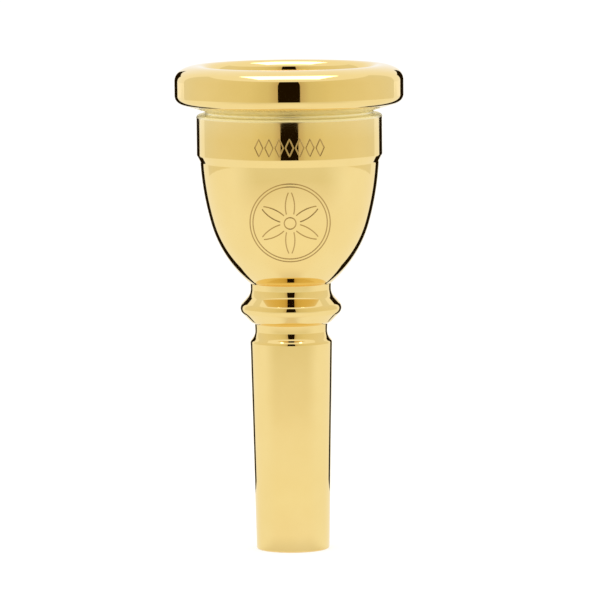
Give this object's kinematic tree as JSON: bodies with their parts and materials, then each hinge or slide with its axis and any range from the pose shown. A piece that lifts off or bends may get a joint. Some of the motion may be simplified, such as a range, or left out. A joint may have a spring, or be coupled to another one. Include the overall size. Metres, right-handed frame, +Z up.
{
  "type": "brass mouthpiece",
  "caption": "Gold-plated brass cup mouthpiece with a cushion rim, a rounded cup, a beaded neck and a tapered shank, for a large-shank low brass instrument.",
  "frame": {"origin": "centre of the shank's flat end face, on the axis of the bore; the mouthpiece stands on that face", "axes": "+Z up along the bore from the shank's end to the rim; the part is round about Z, and -Y is the side that carries the engraved rosette"},
  "size_m": [0.0392, 0.0392, 0.0834],
  "materials": {
    "gold_plating": "mirror-polished pale gold plating on brass"
  },
  "bodies": {
    "root": {"mouthpiece_body": "gold_plating"}
  },
  "joints": []
}
